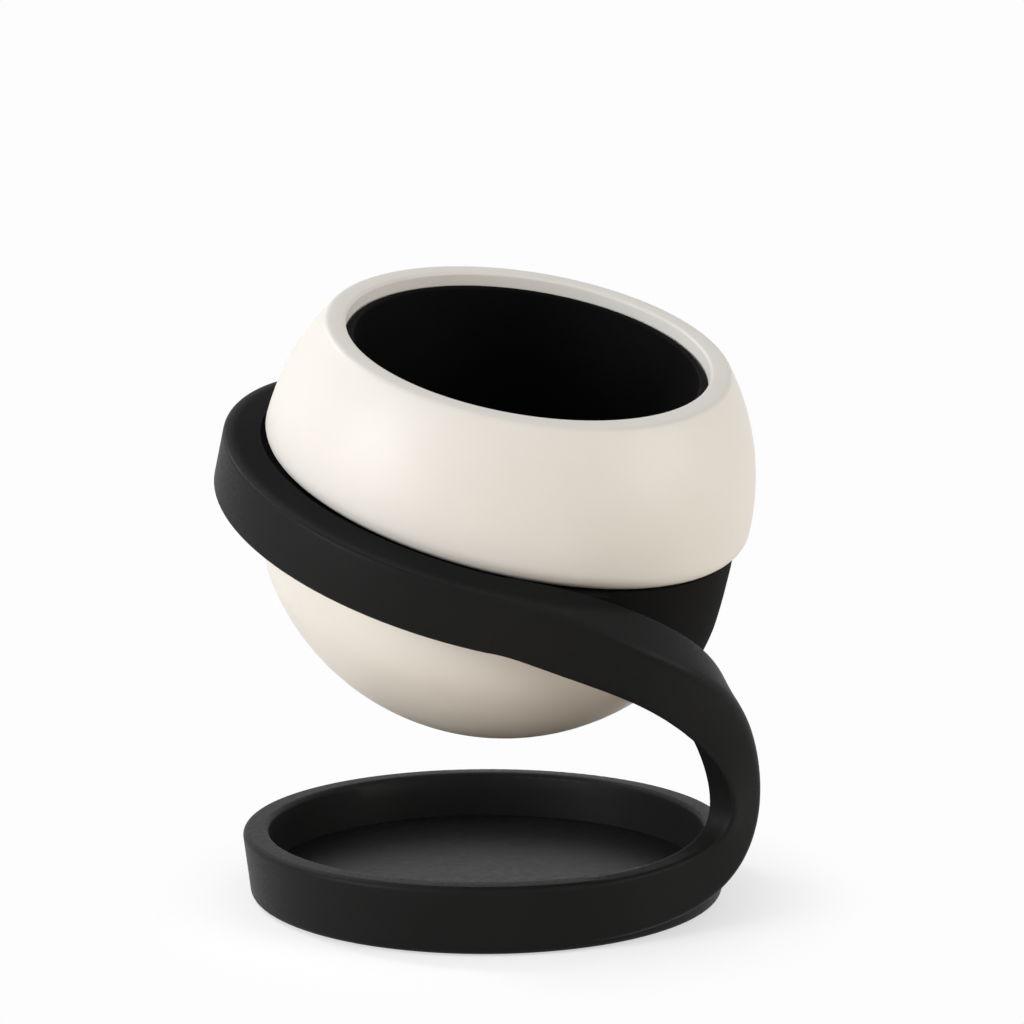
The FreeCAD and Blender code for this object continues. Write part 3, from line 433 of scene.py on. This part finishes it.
bpy.ops.mesh.select_mode(type="EDGE")
bpy.ops.mesh.select_all(action="DESELECT")
mesh = bmesh.from_edit_mesh(stand.data)
wall_edge = [
    edge for edge in mesh.edges
    if edge.is_boundary and edge.verts[0].co.xy.length > WALL_FOOT_FROM
]
for edge in wall_edge:
    edge.select = True
print("edges round the wall's foot", len(wall_edge))
bmesh.update_edit_mesh(stand.data)
corner = wall_edge[0].verts[0].co
before = (corner.xy.length / MM, corner.z / MM)
first = math.degrees(math.atan2(before[1] - FOOT_ARC_CENTRE[1], before[0] - FOOT_ARC_CENTRE[0]))
for ring in arc(FOOT_ARC_CENTRE, FOOT_ARC, first, -90, FOOT_STEPS)[1:]:
    bpy.ops.mesh.extrude_edges_move()
    mesh = bmesh.from_edit_mesh(stand.data)
    newest = [vertex for vertex in mesh.verts if vertex.select]
    narrower = ring[0] / before[0]
    drop = Matrix.Translation((0, 0, (ring[1] - before[1]) * MM))
    step = drop @ Matrix.Diagonal((narrower, narrower, 1, 1))
    bmesh.ops.transform(mesh, matrix=step, verts=newest)
    bmesh.update_edit_mesh(stand.data)
    before = ring
bpy.ops.mesh.select_all(action="DESELECT")
bpy.ops.mesh.select_non_manifold()
bpy.ops.mesh.bridge_edge_loops()
bpy.ops.mesh.select_all(action="DESELECT")
bpy.ops.mesh.select_non_manifold()
mesh = bmesh.from_edit_mesh(stand.data)
print("open edges left", sum(edge.select for edge in mesh.edges))
bpy.ops.object.mode_set(mode="OBJECT")
bpy.ops.object.shade_smooth_by_angle(angle=STAND_SMOOTH)

# %% [markdown]
# The tray's floor carries a thin soft mat.  Its edge is rounded over and stands a hair away from
# the wall, which gives the dark line round the floor.

# %% Tray mat
UPRIGHT = Matrix.Identity(4)
MAT_RADIUS, MAT_LOW, MAT_TOP, MAT_ROUND = 44.9, 3.5, 4.2, 0.3

outline = rounded([
    (0, MAT_LOW, 0),
    (MAT_RADIUS, MAT_LOW, 0),
    (MAT_RADIUS, MAT_TOP, MAT_ROUND),
    (0, MAT_TOP, 0),
], closed=False)
mat = turned("tray_lining", outline, UPRIGHT, "stand", ["tray_mat"], closed=False)

# %% [markdown]
# The pad under the tray has rings pressed into it, as non-slip pads have, so that it grips a
# smooth desk.  They are only a few tenths of a millimetre deep.

# %% Base pad
PAD_RADIUS, PAD_TOP, PAD_ROUND = 43.2, 0.8, 0.2
GRIP_RINGS = (14.0, 20.0, 26.0, 32.0, 38.0)
GRIP_DEPTH, GRIP_WIDTH, GRIP_DRAFT = 0.25, 1.2, 0.1

corners = [(0, 0, 0)]
for radius in GRIP_RINGS:
    end = radius + GRIP_WIDTH
    corners += [(radius, 0, 0.1), (radius + GRIP_DRAFT, GRIP_DEPTH, 0.05)]
    corners += [(end - GRIP_DRAFT, GRIP_DEPTH, 0.05), (end, 0, 0.1)]
corners += [(PAD_RADIUS, 0, PAD_ROUND), (PAD_RADIUS, PAD_TOP, 0), (0, PAD_TOP, 0)]
outline = rounded(corners, closed=False, count=3)
pad = turned("grip_pad", outline, UPRIGHT, "stand", ["base_pad"], closed=False)

# %% [markdown]
# ## Finishes
# Every finish is a Principled shader with noise in Object coordinates, so it stays with the piece
# as it turns.  `finish` builds the usual set: a colour that wanders between two close tones, a
# roughness that varies a little, and a fine bump.  Values that are the same all over the surface
# go straight on the shader's own sockets.

# %% Finish helper
CLOUD_SCALE, CLOUD_SPAN = 35.0, (0.35, 0.65)
GRAIN_SPAN, RELIEF = (0.3, 0.7), 0.6


def finish(name, dark, light, roughness, grain, bump, specular=0.5, metallic=0.0):
    """dark, light: tones; roughness: (low, high); grain: bump noise scale; bump: depth in mm."""
    material = bpy.data.materials.new(name)
    material.use_nodes = True
    nodes, links = material.node_tree.nodes, material.node_tree.links
    shader = nodes["Principled BSDF"]
    place = nodes.new("ShaderNodeTexCoord")
    clouds = nodes.new("ShaderNodeTexNoise")
    clouds.inputs["Scale"].default_value = CLOUD_SCALE
    clouds.inputs["Detail"].default_value = 3
    links.new(place.outputs["Object"], clouds.inputs["Vector"])
    tones = nodes.new("ShaderNodeValToRGB")
    for stop, position, tone in zip(tones.color_ramp.elements, CLOUD_SPAN, (dark, light)):
        stop.position = position
        stop.color = (*tone, 1)
    links.new(clouds.outputs["Fac"], tones.inputs["Fac"])
    links.new(tones.outputs["Color"], shader.inputs["Base Color"])
    fine = nodes.new("ShaderNodeTexNoise")
    fine.inputs["Scale"].default_value = grain
    fine.inputs["Detail"].default_value = 4
    links.new(place.outputs["Object"], fine.inputs["Vector"])
    sheen = nodes.new("ShaderNodeMapRange")
    sheen.inputs["From Min"].default_value, sheen.inputs["From Max"].default_value = GRAIN_SPAN
    sheen.inputs["To Min"].default_value, sheen.inputs["To Max"].default_value = roughness
    links.new(fine.outputs["Fac"], sheen.inputs["Value"])
    links.new(sheen.outputs["Result"], shader.inputs["Roughness"])
    relief = nodes.new("ShaderNodeBump")
    relief.inputs["Strength"].default_value = RELIEF
    relief.inputs["Distance"].default_value = bump * MM
    links.new(fine.outputs["Fac"], relief.inputs["Height"])
    links.new(relief.outputs["Normal"], shader.inputs["Normal"])
    shader.inputs["Specular IOR Level"].default_value = specular
    shader.inputs["Metallic"].default_value = metallic
    print("finish", name)
    return material


def paint(material, *pieces):
    """Gives each piece this finish and no other."""
    for piece in pieces:
        piece.data.materials.clear()
        piece.data.materials.append(material)


# %% [markdown]
# The shell is moulded in a warm cream with a soft matte skin.  The metal stand has a black powder
# coat: nearly black, satin, with a very fine orange-peel.  The liner is duller, and the mat is a
# smooth dark rubber that shines a little more when seen flat on.  A white room would turn satin
# black to grey, so the blacks mirror less than a plain plastic does: their specular level is low.

# %% Finishes of the pieces in view
def grey(level):
    return (level, level, level)


cream = finish("soft cream shell", (0.768, 0.743, 0.695), (0.793, 0.768, 0.72), (0.42, 0.50),
               grain=900, bump=0.012)
coat = finish("black powder coat", grey(0.0075), grey(0.0095), (0.44, 0.54),
              grain=1400, bump=0.02, specular=0.085)
dull = finish("dull black liner", grey(0.0015), grey(0.0025), (0.6, 0.7),
              grain=700, bump=0.02, specular=0.04)
lining = finish("smooth rubber mat", grey(0.005), grey(0.007), (0.30, 0.38),
                grain=500, bump=0.01, specular=0.08)
slip = finish("black slip ring", grey(0.004), grey(0.006), (0.4, 0.5),
              grain=800, bump=0.01, specular=0.08)
rubber = finish("grip rubber", grey(0.018), grey(0.026), (0.7, 0.85), grain=600, bump=0.05)
paint(cream, shell, bowl)
paint(coat, stand)
paint(dull, liner)
paint(lining, mat)
paint(slip, collar, glide)
paint(rubber, pad)

# %% [markdown]
# The ribbon is rubbed to a satin sheen where a hand can reach it.  Inside the belt, round the pot,
# the coat stays as it came from the oven, dull.  The roughness tells the two apart: it reads the
# distance from the ball's centre, and fades from dull to satin across the belt's top face.

# %% Dull coat round the pot
DULL_WITHIN, SATIN_FROM, DULLNESS = 55.5 * MM, 58.4 * MM, 0.5

nodes, links = coat.node_tree.nodes, coat.node_tree.links
shader = nodes["Principled BSDF"]
satin = shader.inputs["Roughness"].links[0].from_socket
place = nodes.new("ShaderNodeTexCoord")
reach = nodes.new("ShaderNodeVectorMath")
reach.operation = "DISTANCE"
reach.inputs[1].default_value = pivot
links.new(place.outputs["Object"], reach.inputs[0])
dull_share = nodes.new("ShaderNodeMapRange")
dull_share.interpolation_type = "SMOOTHSTEP"
dull_share.inputs["From Min"].default_value = DULL_WITHIN
dull_share.inputs["From Max"].default_value = SATIN_FROM
dull_share.inputs["To Min"].default_value = DULLNESS
dull_share.inputs["To Max"].default_value = 0.0
links.new(reach.outputs["Value"], dull_share.inputs["Value"])
both = nodes.new("ShaderNodeMath")
both.operation = "ADD"
both.use_clamp = True
links.new(satin, both.inputs[0])
links.new(dull_share.outputs["Result"], both.inputs[1])
links.new(both.outputs["Value"], shader.inputs["Roughness"])
print("dull within", round(DULL_WITHIN / MM, 1), "mm, satin from", round(SATIN_FROM / MM, 1), "mm")

# %% [markdown]
# The pieces inside keep their engineering meshes: they show only when the pot is taken apart.
# Steel gets a turned look, rubber stays dull.

# %% Finishes of the pieces inside
steel = finish("turned steel", grey(0.50), (0.60, 0.60, 0.59), (0.25, 0.4),
               grain=1500, bump=0.01, metallic=1.0)
for node in ("ballast_disc", "ballast_screws", "collar_screws", "catch_ring", "liner_screw"):
    paint(steel, frame["nodes"][node])
paint(rubber, frame["nodes"]["drag_ring"])

# %% [markdown]
# ## Stage
# A pale studio: a white floor that fades into a white surround.  White light from all sides would
# wash out the ball's shading, so the surround and the far floor are white only to rays that come
# from the camera, from a reflection or through glass.  `looks_straight` adds up those three rays.

# %% Who sees the white
def looks_straight(nodes, links):
    """A socket that is 1 for camera, glossy and transmission rays and 0 for all others."""
    rays = nodes.new("ShaderNodeLightPath")
    total = rays.outputs["Is Camera Ray"]
    for kind in ("Is Glossy Ray", "Is Transmission Ray"):
        plus = nodes.new("ShaderNodeMath")
        plus.operation = "ADD"
        plus.use_clamp = True
        links.new(total, plus.inputs[0])
        links.new(rays.outputs[kind], plus.inputs[1])
        total = plus.outputs["Value"]
    return total


WHITE = (0.98, 0.98, 0.98, 1)
print("white of the surround", WHITE[0])

# %% [markdown]
# The floor is paper that takes the object's shadow.  Near the object it is plain paper with a
# little glow of its own, and further out it fades into the same white as the surround.  Light that
# bounces off it to the ball is warmer than the paper looks, as under a lamp with a warm table.

# %% Floor
FLOOR_SIZE = 6.0
PAPER, PAPER_BOUNCE = (0.62, 0.62, 0.62, 1), (0.86, 0.74, 0.62, 1)
PAPER_GLOW, PAPER_ROUGHNESS = (0.545, 0.545, 0.55, 1), 0.9
FADE_FROM, FADE_TO = 0.045, 0.085

start_clean()
bpy.ops.mesh.primitive_grid_add(x_subdivisions=2, y_subdivisions=2, size=FLOOR_SIZE)
floor = bpy.context.object
floor.name = "studio_floor"
floor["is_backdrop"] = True
paper = bpy.data.materials.new("white paper floor")
paper.use_nodes = True
nodes, links = paper.node_tree.nodes, paper.node_tree.links
shader = nodes["Principled BSDF"]
bounce = nodes.new("ShaderNodeMix")
bounce.data_type = "RGBA"
bounce.inputs["A"].default_value = PAPER
bounce.inputs["B"].default_value = PAPER_BOUNCE
paths = nodes.new("ShaderNodeLightPath")
links.new(paths.outputs["Is Diffuse Ray"], bounce.inputs["Factor"])
links.new(bounce.outputs["Result"], shader.inputs["Base Color"])
shader.inputs["Roughness"].default_value = PAPER_ROUGHNESS
shader.inputs["Specular IOR Level"].default_value = 0.0
shader.inputs["Emission Color"].default_value = PAPER_GLOW
straight = looks_straight(nodes, links)
links.new(straight, shader.inputs["Emission Strength"])
floor.data.materials.append(paper)
print("floor", FLOOR_SIZE, "m wide")

# %% Fade of the floor
place = nodes.new("ShaderNodeTexCoord")
away = nodes.new("ShaderNodeVectorMath")
away.operation = "LENGTH"
links.new(place.outputs["Object"], away.inputs[0])
fade = nodes.new("ShaderNodeMapRange")
fade.interpolation_type = "SMOOTHSTEP"
fade.inputs["From Min"].default_value = FADE_FROM
fade.inputs["From Max"].default_value = FADE_TO
links.new(away.outputs["Value"], fade.inputs["Value"])
share = nodes.new("ShaderNodeMath")
share.operation = "MULTIPLY"
links.new(fade.outputs["Result"], share.inputs[0])
links.new(straight, share.inputs[1])
glow = nodes.new("ShaderNodeEmission")
glow.inputs["Color"].default_value = WHITE
mix = nodes.new("ShaderNodeMixShader")
links.new(share.outputs["Value"], mix.inputs["Fac"])
links.new(shader.outputs["BSDF"], mix.inputs[1])
links.new(glow.outputs["Emission"], mix.inputs[2])
links.new(mix.outputs["Shader"], nodes["Material Output"].inputs["Surface"])
print("floor fades out to", round(FADE_TO / MM), "mm from the middle")

# %% [markdown]
# The world gives a weak, slightly warm light from all round, and shows as white where it is looked
# at straight.

# %% World light
EVEN_COLOUR, EVEN_STRENGTH = (1.0, 0.99, 0.97, 1), 0.33

world = bpy.data.worlds.new("studio")
bpy.context.scene.world = world
world.use_nodes = True
nodes, links = world.node_tree.nodes, world.node_tree.links
nodes.clear()
out = nodes.new("ShaderNodeOutputWorld")
even = nodes.new("ShaderNodeBackground")
even.inputs["Color"].default_value = EVEN_COLOUR
even.inputs["Strength"].default_value = EVEN_STRENGTH
white = nodes.new("ShaderNodeBackground")
white.inputs["Color"].default_value = WHITE
white.inputs["Strength"].default_value = 1.0
mix = nodes.new("ShaderNodeMixShader")
links.new(looks_straight(nodes, links), mix.inputs["Fac"])
links.new(even.outputs["Background"], mix.inputs[1])
links.new(white.outputs["Background"], mix.inputs[2])
links.new(mix.outputs["Shader"], out.inputs["Surface"])
print("even light", EVEN_STRENGTH)

# %% [markdown]
# Three lamps, all outside the camera's view: a large, slightly cool key low at the left front, a
# larger and slightly warm fill low at the right, and a small lamp high behind on the left that
# draws the fine bright lines along the black edges.

# %% Lamps
VIEW_AZIMUTH = -39.3
LAMP_DISTANCE = 1.1
AIM = Vector((0, 0, 0.07))


def lamp(name, azimuth, elevation, size, power, colour=(1, 1, 1)):
    """A square lamp that looks at the pot.  Azimuth 0 is in front of the camera's side."""
    heading = math.radians(VIEW_AZIMUTH + azimuth)
    height = math.radians(elevation)
    level = Vector((math.sin(heading), -math.cos(heading), 0))
    way = level * math.cos(height) + Vector((0, 0, math.sin(height)))
    bpy.ops.object.light_add(type="AREA", location=AIM + way * LAMP_DISTANCE)
    light = bpy.context.object
    light.name = name
    light.data.shape = "SQUARE"
    light.data.size = size
    light.data.energy = power
    light.data.color = colour
    light.visible_camera = False
    light.rotation_euler = (-way).to_track_quat("-Z", "Y").to_euler()
    print(name, power, "W")


start_clean()
lamp("key lamp", -58, 14, 0.5, 8.3, (0.96, 0.98, 1.0))
lamp("fill lamp", 68, 12, 0.6, 5.6, (1.0, 0.98, 0.95))
lamp("edge lamp", -126, 46, 0.18, 2.5)

# %% [markdown]
# The camera stands about half a metre away, a little above the rim, and looks slightly down.

# %% Camera
CAMERA_PLACE = Vector((-284.1, -355.6, 128.4)) * MM
CAMERA_DOWN = 6.11
FOCAL, SENSOR = 77.34, 36.0
NEAREST = 0.01

camera_data = bpy.data.cameras.new("studio camera")
camera_data.sensor_width = SENSOR
camera_data.lens = FOCAL
camera_data.clip_start = NEAREST
camera = bpy.data.objects.new("studio camera", camera_data)
camera.location = CAMERA_PLACE
camera.rotation_euler = (math.radians(90 - CAMERA_DOWN), 0, math.radians(VIEW_AZIMUTH))
bpy.context.collection.objects.link(camera)
bpy.context.scene.camera = camera
bpy.context.scene.view_settings.view_transform = "Standard"
print("camera", round(CAMERA_PLACE.length, 3), "m from the tray's middle")

# %% [markdown]
# The last step prints the size of the finished model.

# %% Size
low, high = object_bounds()
print("visual size in mm", [round((b - a) / MM, 1) for a, b in zip(low, high)])
